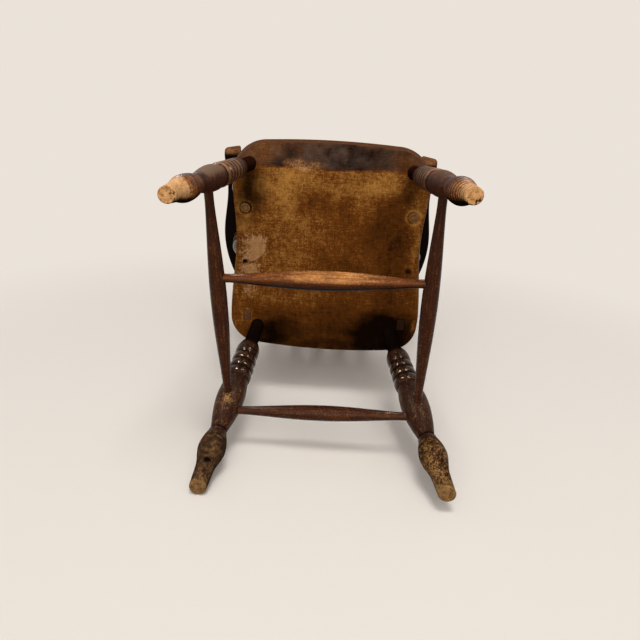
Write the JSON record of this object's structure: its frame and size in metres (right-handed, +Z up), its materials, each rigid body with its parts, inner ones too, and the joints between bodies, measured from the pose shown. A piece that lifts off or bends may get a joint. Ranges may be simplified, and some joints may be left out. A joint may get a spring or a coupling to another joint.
{
  "type": "lath back windsor armchair",
  "caption": "High-backed wooden armchair with a solid shaped seat, splayed turned legs joined by stretchers, turned arm supports, and upright bent laths under a curved top rail.",
  "frame": {"origin": "on the floor, under the middle of the chair's outer box", "axes": "+Z is up, the sitter faces -Y, and +X is on the sitter's left"},
  "size_m": [0.5166, 0.5988, 1.0749],
  "materials": {
    "seat_wood": "old golden brown elm under worn stain and polish",
    "front_leg_wood": "dark red brown stain, rubbed to pale wood at the feet",
    "rear_leg_wood": "dark red brown stain with a soft gloss, mottled at the feet",
    "stretcher_wood": "dark red brown stain with a soft gloss",
    "worn_stretcher_wood": "honey brown wood with the stain rubbed off on top",
    "turned_wood": "dark stain with a soft gloss",
    "arm_wood": "dark stain, polished by hands on top",
    "back_wood": "dark red brown stain, satin polish",
    "peg_wood": "bare pale wood"
  },
  "bodies": {
    "root": {"seat": "seat_wood", "leg_front_left": "front_leg_wood", "leg_front_right": "front_leg_wood", "leg_rear_left": "rear_leg_wood", "leg_rear_right": "rear_leg_wood", "stretcher_side_left": "stretcher_wood", "stretcher_side_right": "stretcher_wood", "stretcher_cross": "worn_stretcher_wood", "stretcher_back": "stretcher_wood", "arm_support_left": "turned_wood", "arm_support_right": "turned_wood", "arm_spindle_left": "turned_wood", "arm_spindle_right": "turned_wood", "arm_left": "arm_wood", "arm_right": "arm_wood", "back_post_left": "back_wood", "back_post_right": "back_wood", "lath_1": "back_wood", "lath_2": "back_wood", "lath_3": "back_wood", "lath_4": "back_wood", "lath_5": "back_wood", "crest_rail": "back_wood", "crest_pegs": "peg_wood", "arm_pegs": "peg_wood"}
  },
  "joints": []
}
